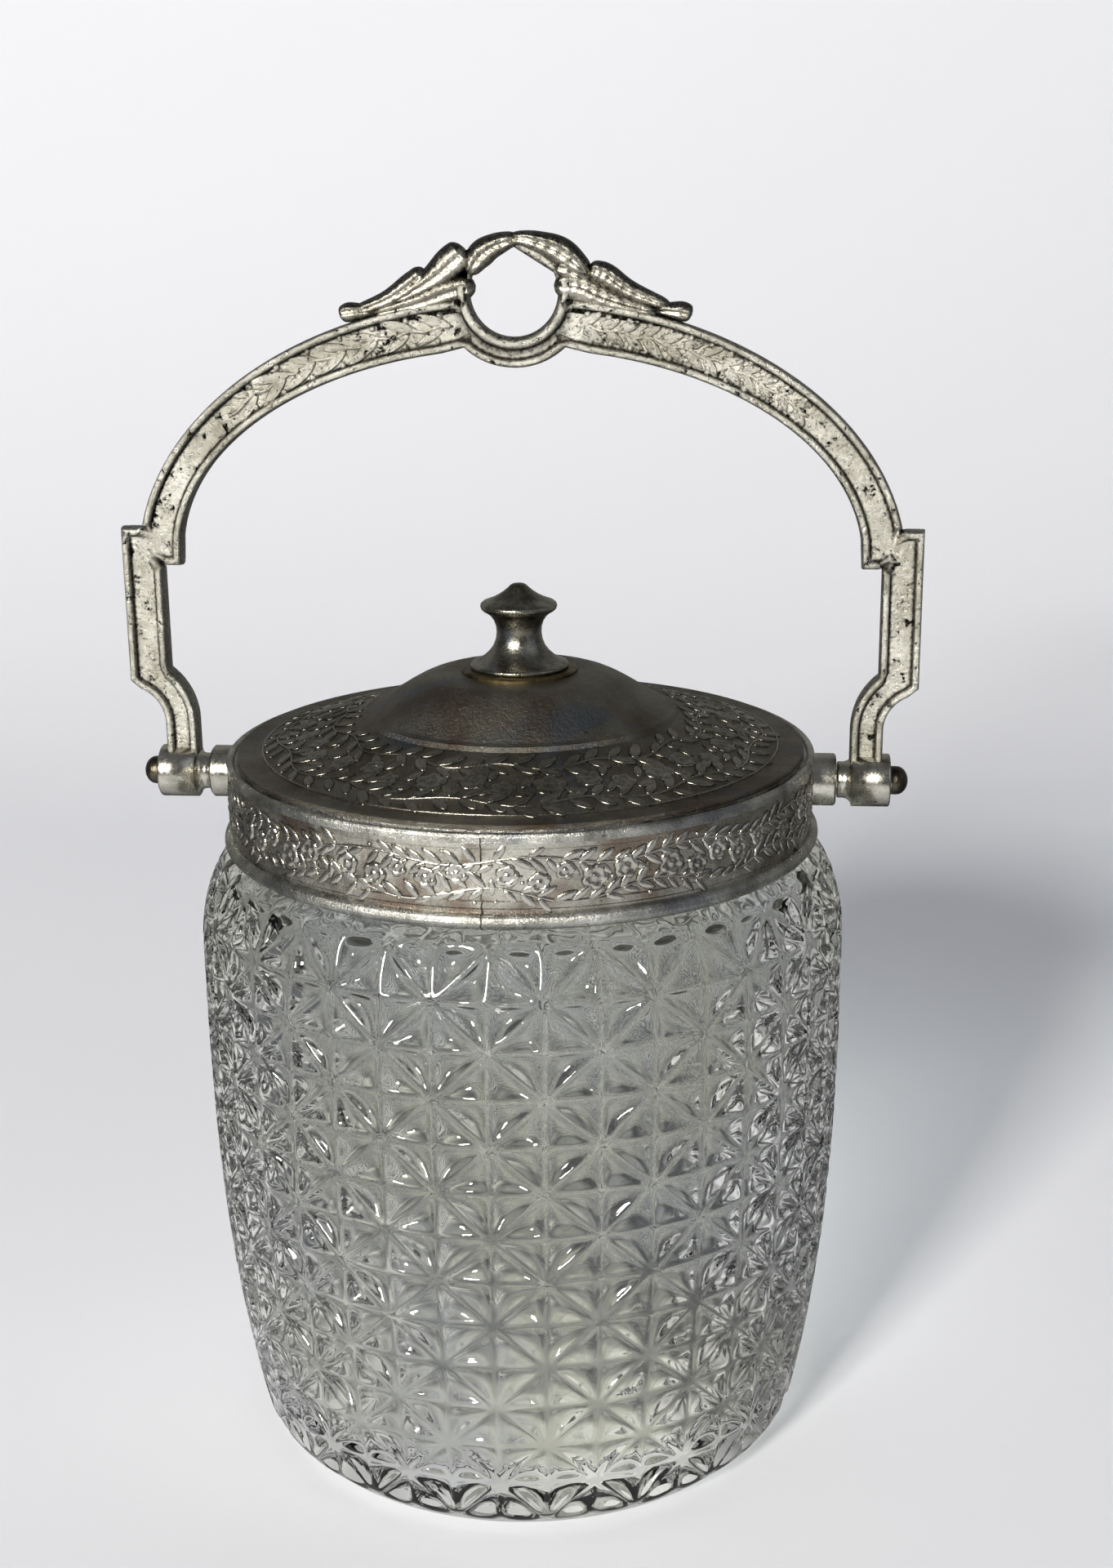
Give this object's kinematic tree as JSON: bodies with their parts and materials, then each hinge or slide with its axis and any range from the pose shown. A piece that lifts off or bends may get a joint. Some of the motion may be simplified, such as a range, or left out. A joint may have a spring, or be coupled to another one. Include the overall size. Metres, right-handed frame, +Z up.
{
  "type": "biscuit jar",
  "caption": "Pressed glass biscuit jar with a plated collar, a lift-off lid with a turned knob, and a swinging cast bail with a finger ring.",
  "frame": {"origin": "centre of the foot, on the surface that the jar stands on", "axes": "+Z up, +X along the two pivots of the bail, -Y the front"},
  "size_m": [0.1608, 0.133, 0.2504],
  "materials": {
    "pressed_glass": "clear pressed glass with a faint grey-green tint",
    "bright_plate": "worn silver plate, warm, embossed, tarnished in the low places",
    "dark_plate": "dark tarnished silver plate with bluish patches",
    "brass": "dull brass",
    "plaster": "matt plaster",
    "steel": "plain steel"
  },
  "bodies": {
    "jar": {"glass_jar": "pressed_glass", "neck_bedding": "plaster", "frieze_band": "bright_plate", "foot_bead": "bright_plate", "lip_ring": "bright_plate", "lid_seat": "bright_plate", "trunnion_left": "dark_plate", "trunnion_right": "dark_plate", "cap_nut_left": "dark_plate", "cap_nut_right": "dark_plate"},
    "bail": {"bail": "bright_plate"},
    "lid": {"lid_cover": "dark_plate", "lid_edge_hoop": "dark_plate", "lid_skirt": "dark_plate", "knob": "dark_plate", "knob_washer": "brass", "knob_screw": "steel", "screw_washer": "steel"}
  },
  "joints": [
    {"name": "bail_swing", "type": "hinge", "parent": "jar", "child": "bail", "pos_m": [0, 0, 0.1417], "axis": [1, 0, 0], "range_deg": [-122, 122]},
    {"name": "lid_lift", "type": "slide", "parent": "jar", "child": "lid", "axis": [0, 0, 1], "range_m": [0, 0.04]}
  ]
}
